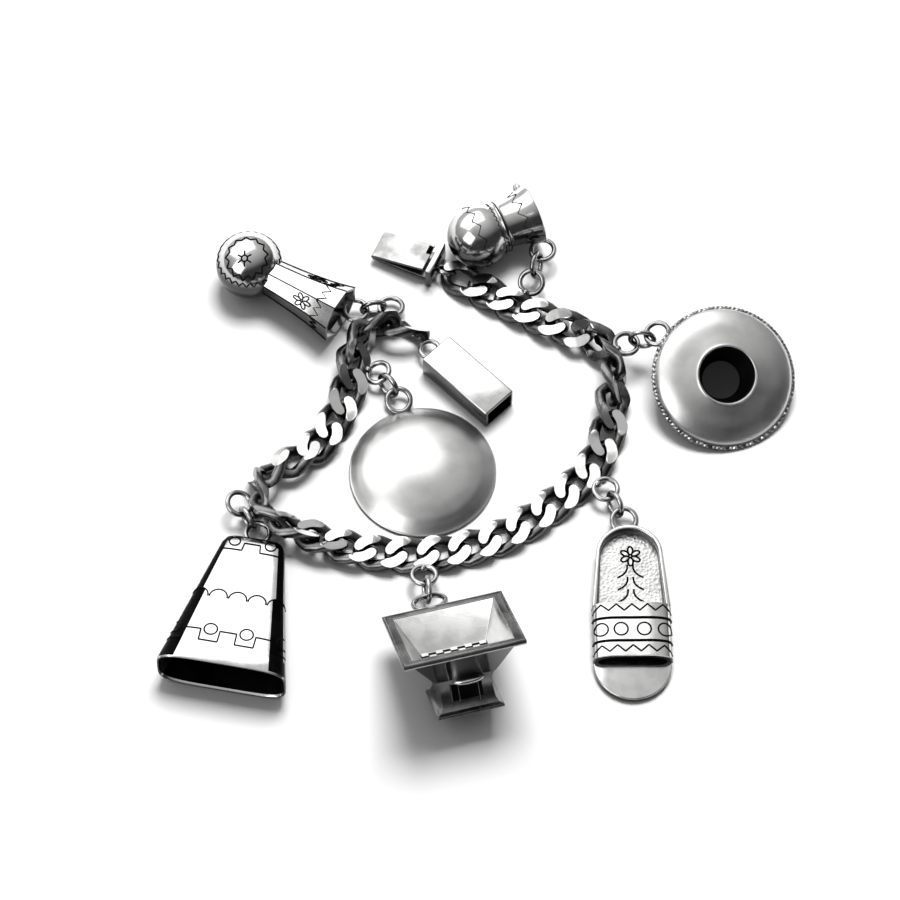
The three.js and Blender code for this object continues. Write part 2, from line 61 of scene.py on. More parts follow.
# %% Shader tools
class Sock:
    """A node's output, on which + and * add Math nodes."""

    def __init__(self, paint, socket):
        self.paint = paint
        self.socket = socket

    def _math(self, operation, first, second):
        return self.paint.node("ShaderNodeMath", {"operation": operation}, {0: first, 1: second})

    def __add__(self, other):
        return self._math("ADD", self, other)

    def __mul__(self, other):
        return self._math("MULTIPLY", self, other)

    __radd__ = __add__
    __rmul__ = __mul__


class Paint:
    """A material in the making."""

    def __init__(self, name):
        self.material = bpy.data.materials.new(name)
        self.material.use_nodes = True
        self.tree = self.material.node_tree
        self.tree.nodes.clear()

    def node(self, kind, settings=None, inputs=None, output=0):
        made = self.tree.nodes.new(kind)
        for key, value in (settings or {}).items():
            if key == "stops":
                for stop, (place, level) in zip(made.color_ramp.elements, value):
                    stop.position = place
                    stop.color = (level, level, level, 1)
            else:
                setattr(made, key, value)
        for key, value in (inputs or {}).items():
            if isinstance(value, Sock):
                self.tree.links.new(value.socket, made.inputs[key])
            else:
                made.inputs[key].default_value = value
        return Sock(self, made.outputs[output]) if made.outputs else None

    def noise(self, scale, detail=2.0, stretch=(1, 1, 1)):
        spot = self.node("ShaderNodeTexCoord", output="Object")
        spot = self.node("ShaderNodeMapping", inputs={"Vector": spot, "Scale": stretch})
        return self.node("ShaderNodeTexNoise", inputs={"Vector": spot, "Scale": scale, "Detail": detail})


# %% [markdown]
# Six finishes cover the bracelet. Polished silver is on every face that is rubbed in wear, and satin silver
# on the two spun discs. Wire silver is a little darker, on the rings, the loops, the rope and the clasp's
# tongue. Shaded silver is a darker copy of silver. On the links' flanks it is painted shade, and it also
# makes the brazier darker. Oxide is nearly black, and lies in grooves and hollows. The sandal's floor is
# stippled with a blunt punch.

# %% Finishes
CLOUD_SCALE = 260
SCRATCH_SCALE = 900
PUNCH_SCALE = 1900
# The near black of the painted shade on faces that turn from the top.
SHADE_BLACK = (0.03, 0.03, 0.032, 1)


def silver(name, light, dark, rough, grain=0.02, pits=0.0):
    paint = Paint(name)
    cloud = paint.noise(CLOUD_SCALE, 3.0)
    scratch = paint.noise(SCRATCH_SCALE, 2.0, (1, 9, 1))
    smudge = paint.node("ShaderNodeValToRGB", {"stops": ((0.36, 0.0), (0.56, 1.0))}, {0: cloud})
    tints = {"A": (dark, dark, dark * 0.985, 1), "B": (light, light, light * 0.99, 1)}
    colour = paint.node("ShaderNodeMix", {"data_type": "RGBA"}, {0: smudge, **tints}, output=2)
    # Painted shade: faces that turn from the top are mixed toward near black.
    film = paint.node("ShaderNodeAttribute", {"attribute_name": "film"}, output=2)
    colour = paint.node("ShaderNodeMix", {"data_type": "RGBA"},
                        {0: film, "A": colour, "B": SHADE_BLACK}, output=2)
    height = scratch * grain
    if pits:
        spot = paint.node("ShaderNodeTexCoord", output="Object")
        cell = paint.node("ShaderNodeTexVoronoi", inputs={"Vector": spot, "Scale": PUNCH_SCALE})
        height = height + cell * pits
    bump = paint.node("ShaderNodeBump", inputs={"Height": height, "Strength": 0.5, "Distance": 0.0002})
    shade = paint.node("ShaderNodeBsdfPrincipled", inputs={
        "Base Color": colour, "Metallic": 1.0, "Roughness": cloud * 0.12 + rough, "Normal": bump})
    paint.node("ShaderNodeOutputMaterial", inputs={"Surface": shade})
    return paint.material


polished = silver("polished_silver", 0.97, 0.8, 0.1)
shaded = silver("shaded_silver", 0.3, 0.12, 0.2)
oxide = silver("black_oxide", 0.006, 0.002, 0.5)
stippled = silver("stippled_silver", 0.97, 0.75, 0.24, 0.02, 0.6)
wire_silver = silver("wire_silver", 0.75, 0.4, 0.14)
satin = silver("satin_silver", 0.97, 0.86, 0.26)
print("finishes:", [m.name for m in bpy.data.materials])

# %% [markdown]
# Most pieces are one of three kinds of form: turned, cut from a flat outline,
# or a round wire along a line. Each gets a short helper, and all of them work
# in millimetres about the piece's own middle.

# %% Form tools
def clean(form):
    bmesh.ops.remove_doubles(form, verts=form.verts, dist=1e-4)
    bmesh.ops.dissolve_degenerate(form, dist=1e-5, edges=form.edges)
    bmesh.ops.recalc_face_normals(form, faces=form.faces)
    return form


def flow(points, per=6):
    """A smooth line through points."""
    dots = [Vector(p) for p in points]
    ends = [dots[0] * 2 - dots[1], *dots, dots[-1] * 2 - dots[-2]]
    line = []
    for a, b, c, d in zip(ends, ends[1:], ends[2:], ends[3:]):
        for i in range(per):
            t = i / per
            line.append(0.5 * (2 * b + (c - a) * t + (2 * a - 5 * b + 4 * c - d) * t * t
                               + (3 * b - a - 3 * c + d) * t ** 3))
    return [*line, dots[-1]]


def turned(outline, steps=72):
    """A form turned about Z from (radius, height) points."""
    form = bmesh.new()
    dots = [form.verts.new((p[0], 0, p[1])) for p in outline]
    edges = [form.edges.new(pair) for pair in zip(dots, dots[1:])]
    bmesh.ops.spin(form, geom=dots + edges, axis=(0, 0, 1), angle=2 * math.pi,
                   steps=steps, use_merge=True)
    return clean(form)


def slab(outline, height, rim=0.0, low=0.0):
    """A flat outline extruded upward, with its edges rounded."""
    form = bmesh.new()
    face = form.faces.new([form.verts.new((x, y, low)) for x, y in outline])
    grown = bmesh.ops.extrude_face_region(form, geom=[face])["geom"]
    bmesh.ops.translate(form, verts=[v for v in grown if isinstance(v, bmesh.types.BMVert)],
                        vec=(0, 0, height))
    clean(form)
    if rim:
        sharp = [e for e in form.edges if len(e.link_faces) == 2 and e.calc_face_angle() > 0.6]
        bmesh.ops.bevel(form, geom=sharp, offset=rim, offset_type="OFFSET", segments=3,
                        profile=0.5, affect="EDGES", material=-1, clamp_overlap=True)
    return form


def brick(width, depth, height, centre, rim=0.0):
    x, y, z = centre
    corners = [(x + i * width / 2, y + j * depth / 2) for i, j in ((-1, -1), (1, -1), (1, 1), (-1, 1))]
    return slab(corners, height, rim, z - height / 2)


def wires(lines, radius, closed=False):
    """Round wires along lines."""
    curve = bpy.data.curves.new("wires", "CURVE")
    curve.dimensions = "3D"
    curve.bevel_depth = radius
    curve.bevel_resolution = 1
    curve.use_fill_caps = True
    for line in lines:
        spline = curve.splines.new("POLY")
        spline.points.add(len(line) - 1)
        for dot, place in zip(spline.points, line):
            dot.co = (*place, 1)
        spline.use_cyclic_u = closed
    holder = bpy.data.objects.new("wires", curve)
    mesh = bpy.data.meshes.new_from_object(holder)
    form = bmesh.new()
    form.from_mesh(mesh)
    bpy.data.objects.remove(holder)
    bpy.data.curves.remove(curve)
    bpy.data.meshes.remove(mesh)
    return clean(form)


def hoop(radius, wire, steps=40):
    """A ring of round wire in the XY plane."""
    form = bmesh.new()
    made = bmesh.ops.create_circle(form, segments=12, radius=wire / 2)
    bmesh.ops.rotate(form, verts=made["verts"], matrix=Matrix.Rotation(math.pi / 2, 3, "X"))
    bmesh.ops.translate(form, verts=made["verts"], vec=(radius, 0, 0))
    bmesh.ops.spin(form, geom=form.verts[:] + form.edges[:], axis=(0, 0, 1), angle=2 * math.pi,
                   steps=steps, use_merge=True)
    return clean(form)


def drawn(form, dots, sections):
    """Draws a closed ring of dots through (half_x, half_y, z) sections and caps both ends."""
    first = ring = [form.edges.new(pair) for pair in zip(dots, [*dots[1:], dots[0]])]
    for here, there in zip(sections, sections[1:]):
        grown = bmesh.ops.extrude_edge_only(form, edges=ring)["geom"]
        dots = [g for g in grown if isinstance(g, bmesh.types.BMVert)]
        ring = [g for g in grown if isinstance(g, bmesh.types.BMEdge) and all(v in dots for v in g.verts)]
        bmesh.ops.scale(form, vec=(there[0] / here[0], there[1] / here[1], 1), verts=dots)
        bmesh.ops.translate(form, vec=(0, 0, there[2] - here[2]), verts=dots)
    for end in (first, ring):
        bmesh.ops.holes_fill(form, edges=end, sides=0)
    return clean(form)


def bead(radius, centre):
    form = bmesh.new()
    bmesh.ops.create_icosphere(form, subdivisions=3, radius=radius, matrix=Matrix.Translation(centre))
    return form


def moved(form, matrix):
    bmesh.ops.transform(form, matrix=matrix, verts=form.verts)
    return form


# %% [markdown]
# An engraved line is a shallow groove full of oxide. Here each is a hair of
# black wire that is pressed onto the surface it follows: points of a flat
# drawing are dropped along one direction until they meet the metal.

# %% Engraving tools
ABOVE = 30
REACH = 60
DOWN = (0, 0, -1)
BACK = (0, 1, 0)


def overhead(x, y):
    return (x, y, ABOVE)


def front(x, y):
    return (x, -ABOVE, y)


def pressed(drawing, form, way, radius=0.09, step=0.22):
    """Lines of a drawing, dropped along `way` onto a form."""
    skin = BVHTree.FromBMesh(form)
    way = Vector(way).normalized()
    lines = []
    for line in drawing:
        kept = []
        for a, b in zip(line, line[1:]):
            a, b = Vector(a), Vector(b)
            count = max(1, round((b - a).length / step))
            for i in range(count + 1):
                spot = a.lerp(b, i / count)
                hit = skin.ray_cast(spot - way * REACH, way)[0]
                if hit is not None:
                    if not kept or (hit - kept[-1]).length > 0.02:
                        kept.append(hit)
                elif len(kept) > 1:
                    lines.append(kept)
                    kept = []
        if len(kept) > 1:
            lines.append(kept)
    return wires(lines, radius)


def circle(centre, radius, count=24, flat=overhead):
    x, y = centre
    turns = [2 * math.pi * i / count for i in range(count + 1)]
    return [flat(x + radius * math.cos(t), y + radius * math.sin(t)) for t in turns]


def zigzag(start, end, depth, count):
    a, b = Vector(start), Vector(end)
    side = Vector((a.y - b.y, b.x - a.x)).normalized() * depth
    dots = [a.lerp(b, i / (2 * count)) + side * (i % 2) for i in range(2 * count + 1)]
    return [overhead(*d) for d in dots]


# %% [markdown]
# A finished piece is one mesh in metres, with its place in its vertices. It rides on the only body there is,
# and it stands for its plain solid. Each face corner stores how far it turns from the top, and the finishes
# darken by that value. This is painted shade, so flanks and undersides stay dark under any light.

# %% Settling a piece
# Painted shade starts below the first rise, is full below the second, and reaches at most the third strength.
SHADE_TOP = 0.72
SHADE_FULL = 0.2
SHADE_MOST = 0.96
SHARP = math.radians(34)


def settle(name, node, slot, matrix, *parts):
    """Joins parts, pairs of a form and its finish or finishes, and puts them in place."""
    mesh = bpy.data.meshes.new(name)
    whole = bmesh.new()
    for form, finishes in parts:
        finishes = finishes if isinstance(finishes, tuple) else (finishes,)
        for finish in finishes:
            if mesh.materials.find(finish.name) < 0:
                mesh.materials.append(finish)
        spots = [mesh.materials.find(finish.name) for finish in finishes]
        for face in form.faces:
            face.material_index = spots[min(face.material_index, len(spots) - 1)]
            face.smooth = True
        part = bpy.data.meshes.new("part")
        form.to_mesh(part)
        whole.from_mesh(part)
        form.free()
        bpy.data.meshes.remove(part)
    bmesh.ops.transform(whole, matrix=Matrix.Scale(MM, 4) @ matrix, verts=whole.verts)
    whole.to_mesh(mesh)
    whole.free()
    mesh.set_sharp_from_angle(angle=SHARP)
    # Painted shade, set by how far each face corner turns from the top.
    normals = np.zeros(len(mesh.loops) * 3, np.float32)
    mesh.corner_normals.foreach_get("vector", normals)
    rise = normals.reshape(-1, 3)[:, 2]
    film = np.clip((SHADE_TOP - rise) / (SHADE_TOP - SHADE_FULL), 0, 1)
    film = film * film * (3 - 2 * film) * SHADE_MOST
    mesh.attributes.new("film", "FLOAT", "CORNER").data.foreach_set("value", film)
    piece = bpy.data.objects.new(name, mesh)
    bpy.context.collection.objects.link(piece)
    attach(piece, "root")
    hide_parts(node)
    return piece


def ring_place(centre, along, lean=0.0):
    """The place of a ring whose plane holds `along`."""
    x = Vector(along).normalized()
    up = Vector((1, 0, 0)) if abs(x.z) > 0.99 else Vector((0, 0, 1))
    flat = (up - x * up.dot(x)).normalized()
    z = Quaternion(x, math.radians(lean)) @ flat
    turn = Matrix((x, z.cross(x), z)).transposed().to_4x4()
    return Matrix.Translation(centre) @ turn


def tilted(x=0.0, y=0.0, z=0.0):
    about_z, about_y, about_x = (Matrix.Rotation(math.radians(a), 4, axis)
                                 for a, axis in ((z, "Z"), (y, "Y"), (x, "X")))
    return about_z @ about_y @ about_x


# %% [markdown]
# The griddle's solid shows how far the layout was shifted to centre it on the
# table, so every other piece can be placed by its own design position.

# %% Layout
GRIDDLE_RADIUS = 12.1
griddle_low, griddle_high = (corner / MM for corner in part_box("charm_griddle"))
middle_x = (griddle_low.x + griddle_high.x) / 2
griddle_spot = Vector((middle_x, griddle_low.y + GRIDDLE_RADIUS, griddle_low.z))
GRIDDLE_DESIGN = Vector((-4.5, -4.3, 0))
shift = griddle_spot - GRIDDLE_DESIGN
print("shift:", [round(c, 3) for c in shift])


def at(x, y, z=0.0, turn=None):
    return Matrix.Translation(shift + Vector((x, y, z))) @ (turn or Matrix.Identity(4))


# %% [markdown]
# A curb link starts as a plain oval ring. Its two ends are twisted against each
# other so that the chain lies flat, and then a diamond tool planes the top and
# the bottom, which leaves the bright teardrop facets.

# %% Curb link
LINK_WIRE = 1.95
LINK_HALF = 3.65
LINK_WIDTH = 6.3
LINK_TWIST = math.radians(-45)
LINK_CUT = 2.1


def curb_link():
    radius = (LINK_WIDTH - LINK_WIRE) / 2
    form = hoop(radius, LINK_WIRE, 44)
    for dot in form.verts:
        if abs(dot.co.x) > 1e-4:
            dot.co.x += math.copysign(LINK_HALF - radius, dot.co.x)
        turn = Matrix.Rotation(LINK_TWIST * dot.co.x / LINK_HALF, 3, "X")
        dot.co = turn @ dot.co
    for side in (1, -1):
        cut = bmesh.ops.bisect_plane(form, geom=form.verts[:] + form.edges[:] + form.faces[:],
                                     plane_co=(0, 0, side * LINK_CUT / 2), plane_no=(0, 0, side),
                                     clear_outer=True)["geom_cut"]
        bmesh.ops.holes_fill(form, edges=[e for e in cut if isinstance(e, bmesh.types.BMEdge)], sides=0)
    for face in form.faces:
        # Facets are polished, and every other face takes shaded silver, which is painted shade.
        face.material_index = 0 if abs(face.normal.z) > 0.97 and len(face.verts) > 5 else 1
    return form


link_form = curb_link()
print("link facets:", sum(1 for f in link_form.faces if f.material_index == 0))

# %% [markdown]
# Each link's place is read back from its plain solid. A twisted link looks the
# same after half a turn about any of its axes, so its spread gives its axes. A
# link with a soldered loop is fitted to a plain one, point by point, from a few
# starting turns, and the closest fit is kept.

# %% Link places
def cloud(node):
    dots = np.array([v.co[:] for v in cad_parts[node].data.vertices]) / MM
    return np.unique(dots.round(4), axis=0)


def spread(dots):
    """The middle of a cloud and its axes, the longest first."""
    middle = dots.mean(0)
    axes = np.linalg.svd(dots - middle, full_matrices=False)[2]
    if np.linalg.det(axes) < 0:
        axes[2] = -axes[2]
    local = (dots - middle) @ axes.T
    middle = middle + ((local.max(0) + local.min(0)) / 2) @ axes
    return middle, axes


MATCH_ROUNDS = 40
MATCH_SHARE = 0.75


def matched(sample, dots, middle, axes):
    """Moves a sample cloud onto the nearest points of another, a little at a time."""
    for _ in range(MATCH_ROUNDS):
        placed = sample @ axes + middle
        gaps = np.linalg.norm(placed[:, None] - dots[None], axis=2)
        near = gaps.argmin(1)
        close = gaps.min(1)
        keep = close <= np.quantile(close, MATCH_SHARE)
        here, there = sample[keep], dots[near[keep]]
        shear = (here - here.mean(0)).T @ (there - there.mean(0))
        u, _, v = np.linalg.svd(shear)
        flip = np.diag([1, 1, np.sign(np.linalg.det(u @ v))])
        axes = u @ flip @ v
        middle = there.mean(0) - here.mean(0) @ axes
    return middle, axes


TRY_TURNS = (-24, -12, 0, 12, 24)
link_nodes = sorted(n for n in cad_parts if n.startswith("curb_link_"))
clouds = {n: cloud(n) for n in link_nodes}
fewest = min(len(c) for c in clouds.values())
plain = {n: spread(c) for n, c in clouds.items() if len(c) < fewest + 12}
first_middle, first_axes = plain[link_nodes[0]]
sample = (clouds[link_nodes[0]] - first_middle) @ first_axes.T
link_places = {}
for i, node in enumerate(link_nodes):
    if node in plain:
        link_places[node] = plain[node]
        continue
    around = [plain[n] for n in link_nodes[max(i - 1, 0):i + 2] if n in plain]
    middle = sum(p[0] for p in around) / len(around)
    tries = []
    for guess in around:
        for turn in TRY_TURNS:
            twist = np.array(Matrix.Rotation(math.radians(turn), 3, "Z"))
            found = matched(sample, clouds[node], middle, guess[1] @ twist)
            gaps = np.linalg.norm((sample @ found[1] + found[0])[:, None] - clouds[node][None], axis=2).min(1)
            tries.append((np.quantile(gaps, 0.8), found))
    best = min(tries, key=lambda pair: pair[0])
    link_places[node] = best[1]
    print(node, "fitted to", round(float(best[0]), 3), "mm")


def matrix_of(middle, axes):
    return Matrix.Translation(Vector(middle)) @ Matrix([list(a) for a in axes]).transposed().to_4x4()


# %% [markdown]
# The loop on a link is what is left of its solid once the link itself is taken
# away. A circle fitted to those points gives its middle and its tilt.

# %% Soldered loops and jump rings
RING_RADIUS = 1.95
RING_WIRE = 0.86


def ring_fit(dots):
    for _ in range(3):
        middle = dots.mean(0)
        axes = np.linalg.svd(dots - middle, full_matrices=False)[2]
        flat = (dots - middle) @ axes[:2].T
        sums = np.c_[2 * flat, np.ones(len(flat))]
        a, b, c = np.linalg.lstsq(sums, (flat ** 2).sum(1), rcond=None)[0]
        centre = middle + np.array([a, b]) @ axes[:2]
        off = np.abs(np.linalg.norm(flat - [a, b], axis=1) - RING_RADIUS)
        high = np.abs((dots - middle) @ axes[2])
        keep = (off < 0.5) & (high < 0.5)
        if keep.all() or keep.sum() < 12:
            break
        dots = dots[keep]
    return Vector(centre), Vector(axes[2])


def facing(centre, normal):
    return Matrix.Translation(centre) @ normal.to_track_quat("Z", "Y").to_matrix().to_4x4()


BEAD_RADIUS = 0.62
for node, (middle, axes) in link_places.items():
    place = matrix_of(middle, axes)
    # The link's flanks take shaded silver: painted shade beside the bright facets.
    parts = [(moved(link_form.copy(), place), (polished, shaded))]
    if node not in plain:
        gaps = np.linalg.norm((sample @ axes + middle)[None] - clouds[node][:, None], axis=2).min(1)
        centre, normal = ring_fit(clouds[node][gaps > 0.15])
        parts.append((moved(hoop(RING_RADIUS, RING_WIRE), facing(centre, normal)), wire_silver))
        skin = BVHTree.FromBMesh(parts[0][0])
        seat = skin.find_nearest(centre)[0]
        parts.append((bead(BEAD_RADIUS, seat), wire_silver))
    settle(node.replace("curb_", ""), node, "chain", Matrix.Identity(4), *parts)

for node in sorted(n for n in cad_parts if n.startswith("jump_ring_")):
    centre, normal = ring_fit(cloud(node))
    settle(node + "_wire", node, "ring", facing(centre, normal), (hoop(RING_RADIUS, RING_WIRE), wire_silver))
print("links placed:", len(link_places))

# %% [markdown]
# ## The clasp
# The box is folded from sheet, so its edges are slightly round, its mouth is
# open and its inside is dark with oxide. An inset on the end face leaves the
# sheet's edge, and one long extrusion back into the box makes the hollow.

# %% Clasp box
CLASP_WIDTH = 6.4
BOX_LENGTH = 15
BOX_HEIGHT = 4.4
SHEET = 0.55
LUG_RADIUS = 1.6
LUG_WIRE = 0.8


def clasp_box():
    form = brick(BOX_LENGTH, CLASP_WIDTH, BOX_HEIGHT, (BOX_LENGTH / 2, 0, BOX_HEIGHT / 2), 0.3)
    mouth = max((f for f in form.faces if f.normal.x > 0.9), key=lambda f: f.calc_area())
    bmesh.ops.inset_individual(form, faces=[mouth], thickness=SHEET - 0.3)
    inner = bmesh.ops.extrude_discrete_faces(form, faces=[mouth])["faces"][0]
    bmesh.ops.translate(form, verts=inner.verts, vec=(-BOX_LENGTH + SHEET, 0, 0))
    deep = {inner, *(f for e in inner.edges for f in e.link_faces)}
    for face in deep:
        face.material_index = 1
    return form


box_place = at(-2.4, 17.1, 0, tilted(z=-45))
lug = moved(hoop(LUG_RADIUS, LUG_WIRE), ring_place((-LUG_RADIUS + 0.2, 0, BOX_HEIGHT / 2 - 0.2), (1, 0, 0)))
settle("clasp_box_sheet", "clasp_box", "clasp", box_place,
       (clasp_box(), (polished, oxide)), (lug, wire_silver))

# %% [markdown]
# The tongue is one strip folded back on itself. It is drawn from the side, as
# the smith bends it, and extruded to its width. The end plate closes the box's
# mouth when the clasp is shut.

# %% Clasp tongue
TONGUE_LENGTH = 10.2
TONGUE_WIDTH = 5.2
TONGUE_LEAF = 0.55
TONGUE_OPEN = 2.9
END_PLATE_HEIGHT = 4.6
END_PLATE_THICK = 1.0


def clasp_tongue():
    low = 1.0
    fold = -TONGUE_LENGTH
    side = [(0, low), (fold, low), (fold - 0.35, low + TONGUE_LEAF), (fold, low + 2 * TONGUE_LEAF + 0.1),
            (-0.9, low + TONGUE_OPEN), (-0.9, low + TONGUE_OPEN - TONGUE_LEAF),
            (fold + 0.8, low + TONGUE_LEAF + 0.1), (fold + 0.8, low + TONGUE_LEAF), (0, low + TONGUE_LEAF)]
    form = slab(side, TONGUE_WIDTH, 0.12)
    stand = Matrix.Translation((0, TONGUE_WIDTH / 2, 0)) @ Matrix.Rotation(math.pi / 2, 4, "X")
    return moved(form, stand)


tongue_place = at(-2.75, 34.7, 0, tilted(z=-24))
end_plate = brick(END_PLATE_THICK, CLASP_WIDTH, END_PLATE_HEIGHT,
                  (END_PLATE_THICK / 2 - 0.2, 0, END_PLATE_HEIGHT / 2), 0.18)
slot_line = brick(0.5, 2.6, 0.9, (END_PLATE_THICK - 0.33, 0, 3.4), 0.1)
catch = brick(0.8, 1.5, 0.25, (-1.3, 1.4, 1.0 + TONGUE_OPEN + 0.02), 0.05)
lug_spot = (END_PLATE_THICK + LUG_RADIUS - 0.45, 0, 1.55)
lug = moved(hoop(LUG_RADIUS, LUG_WIRE), ring_place(lug_spot, (1, 0, 0), -45))
settle("clasp_tongue_strip", "clasp_tongue", "clasp", tongue_place,
       (clasp_tongue(), wire_silver), (end_plate, polished), (slot_line, oxide), (catch, oxide),
       (lug, wire_silver))
print("clasp:", [round(size, 1) for size in (BOX_LENGTH, TONGUE_LENGTH)], "mm long")

# %% [markdown]
# ## The maraca
# The rattle is a turned ball on an eight-sided flared handle. Turning a profile
# in only eight steps keeps the handle's flats.

# %% Maraca
MARACA_BALL = 5.6
MARACA_LENGTH = 18
MARACA_NECK = 3.0
MARACA_MOUTH = 5.0
ALONG_X = Matrix.Rotation(math.pi / 2, 4, "Y")


def handle_radius(x):
    t = (x - 3.4) / (MARACA_LENGTH - 3.4)
    return MARACA_NECK + (MARACA_MOUTH - MARACA_NECK) * (0.55 * t + 0.45 * t ** 3)


def on_handle(turn, x, lift=0.0):
    """A point on a flat of the handle, `turn` in eighths of a round from the middle of the top flat."""
    radius = handle_radius(x) + lift
    side = math.radians(45 * round(turn))
    off = (turn - round(turn)) * math.radians(45)
    apothem = radius * math.cos(math.pi / 8)
    return Vector((x, 0, 0)) + apothem * (Vector((0, math.sin(side), math.cos(side)))
                                          + math.tan(off) * Vector((0, math.cos(side), -math.sin(side))))


ball_form = turned([(MARACA_BALL * math.sin(math.radians(a)), -MARACA_BALL * math.cos(math.radians(a)))
                    for a in range(0, 181, 6)])
steps = [3.0 + (MARACA_LENGTH - 3.0) * i / 14 for i in range(15)]
handle_form = turned([(handle_radius(x), x) for x in steps]
                     + [(MARACA_MOUTH - 0.5, MARACA_LENGTH), (MARACA_MOUTH - 1.0, MARACA_LENGTH - 0.9),
                        (0, MARACA_LENGTH - 1.2)], 8)
moved(handle_form, ALONG_X @ Matrix.Rotation(math.pi / 8, 4, "Z"))
moved(ball_form, ALONG_X)
print("maraca faces:", len(ball_form.faces) + len(handle_form.faces))

# %% [markdown]
# The ball is cut with rings of zigzag round a small star, which are drawn flat
# and pressed on from above. The handle has a line along every edge, a zigzag
# and a wave near its mouth, and a flower, and these are placed on its flats.

# %% Maraca engraving
CUT_LIFT = 0.02
MARACA_CUT = 0.12


def polar_zigzag(centre, low, high, count):
    """A zigzag round a centre, drawn flat above the form."""
    x, y = centre
    dots = []
    for i in range(2 * count + 1):
        t = math.pi * i / count
        radius = high if i % 2 else low
        dots.append(overhead(x + radius * math.cos(t), y + radius * math.sin(t)))
    return dots


STAR = (0.4, -1.9)
ball_drawing = [polar_zigzag((0.4, -1.2), 3.0, 3.6, 13), polar_zigzag((0, 0), 5.05, 5.35, 26),
                circle(STAR, 0.5, 16)]
for i in range(6):
    t = math.radians(60 * i)
    ball_drawing.append([overhead(STAR[0] + r * math.cos(t), STAR[1] + r * math.sin(t)) for r in (0.6, 1.3)])
handle_lines = [[on_handle(k + 0.5, x, CUT_LIFT) for x in steps[1:]] for k in range(8)]
for k in range(8):
    handle_lines.append([on_handle(k + f, x, CUT_LIFT) for f, x in
                         ((-0.46, 14.4), (-0.23, 15.7), (0, 14.4), (0.23, 15.7), (0.46, 14.4))])
petals = []
for k in (1, -1, 3):
    for i in range(6):
        t = math.radians(60 * i)
        petal = []
        for j in range(9):
            s = 2 * math.pi * j / 8
            u, v = 1.0 + 0.8 * math.cos(s), 0.42 * math.sin(s)
            across, along = u * math.sin(t) + v * math.cos(t), u * math.cos(t) - v * math.sin(t)
            petal.append(on_handle(k + across / 4, 12 + along, CUT_LIFT))
        petals.append(petal)
wave_steps = [13.4 + i * 0.25 for i in range(13)]
wave = [[on_handle(k - 0.4 + 0.08 * (x - 13.4) ** 2, x, CUT_LIFT) for x in wave_steps] for k in (1, -3)]
maraca_place = at(-33.7, 32.4, MARACA_BALL, tilted(y=1.5, z=-31))
maraca_loop = moved(hoop(RING_RADIUS, RING_WIRE), ring_place((MARACA_LENGTH + 1.0, 3.2, -2.6), (1, 0, 0)))
ball_lines = pressed(ball_drawing, ball_form, DOWN, 0.15)
settle("maraca", "charm_maraca", "charm", maraca_place,
       (ball_form, polished), (handle_form, polished), (ball_lines, oxide),
       (wires(handle_lines + petals + wave, MARACA_CUT), oxide), (maraca_loop, wire_silver))
print("maraca lines:", len(ball_drawing) + len(handle_lines + petals + wave))

# %% [markdown]
# ## The water jug
# A round body, a seam where the neck was soldered on, a flared neck with a
# zigzag round it, and a rolled rim. Body and neck are one turned profile, so
# the metal is whole at the seam.

# %% Water jug
JUG_BALL = 5.4
JUG_LENGTH = 10.2
SEAM_AT = 4.15
SEAM_RADIUS = 4.44


def about_x(radius, x, turn):
    """A point `turn` degrees round the X axis from the top."""
    return Vector((x, radius * math.sin(math.radians(turn)), radius * math.cos(math.radians(turn))))


def ball_zigzag(radius, low, high, count):
    """A zigzag round a ball about X, between two distances along it."""
    dots = []
    for i in range(2 * count + 1):
        x = high if i % 2 else low
        dots.append(about_x(math.sqrt(radius ** 2 - x ** 2), x, 360 * i / (2 * count)))
    return dots


belly = [(JUG_BALL * math.sin(math.radians(a)), -JUG_BALL * math.cos(math.radians(a)))
         for a in range(0, 132, 6)]
neck = flow([(4.3, 3.6), (4.5, 3.9), (4.35, 4.2), (4.0, 4.5), (3.95, 5.2), (4.1, 6.4), (4.5, 7.9),
             (5.0, 9.5), (5.1, 10.0), (4.95, 10.2), (4.6, 10.1), (4.1, 9.0), (3.3, 7.4), (1.5, 6.9),
             (0, 6.8)], 4)
jug_form = moved(turned([*belly, *[(max(p.x, 0), p.y) for p in neck]]), ALONG_X)
for face in jug_form.faces:
    middle = face.calc_center_median()
    if middle.x > 6.6 and math.hypot(middle.y, middle.z) < 3.9 and face.normal.x > 0.2:
        face.material_index = 1
jug_lines = [ball_zigzag(JUG_BALL + 0.01, -0.9, 0.1, 13), ball_zigzag(JUG_BALL + 0.01, 3.0, 3.3, 30),
             [about_x(SEAM_RADIUS, SEAM_AT, 5 * i) for i in range(73)],
             [about_x(4.2 if i % 2 else 4.62, 6.9 if i % 2 else 8.2, 360 * i / 22) for i in range(23)]]
lobe_shape = Matrix.Translation((9.5, 4.9, 0.9)) @ Matrix.Diagonal((0.6, 1, 1, 1))
rim_lobe = moved(bead(1.25, (0, 0, 0)), lobe_shape)
jug_place = at(4.9, 38.3, JUG_BALL, tilted(y=-4, z=24))
jug_loop = moved(hoop(RING_RADIUS, RING_WIRE), ring_place((JUG_LENGTH - 1.2, -5.9, -2.4), (0, 1, 0)))
settle("water_jug", "charm_jug", "charm", jug_place, (jug_form, (polished, oxide)),
       (rim_lobe, polished), (wires(jug_lines, 0.11), oxide), (jug_loop, wire_silver))
print("jug lines:", len(jug_lines))

# %% [markdown]
# ## The sombrero
# The hat lies on its crown. The brim is one smooth turned curve, and the rope
# round its edge is two twisted strands, each a wire along a helix.

# %% Sombrero
BRIM_DROP = 2.6
BRIM_SHEET = 0.9
CROWN_DEPTH = 5.8
HOLLOW_RADIUS = 4.6
ROPE_RADIUS = 11.62
STRAND = 0.2
ROPE_TURNS = 52

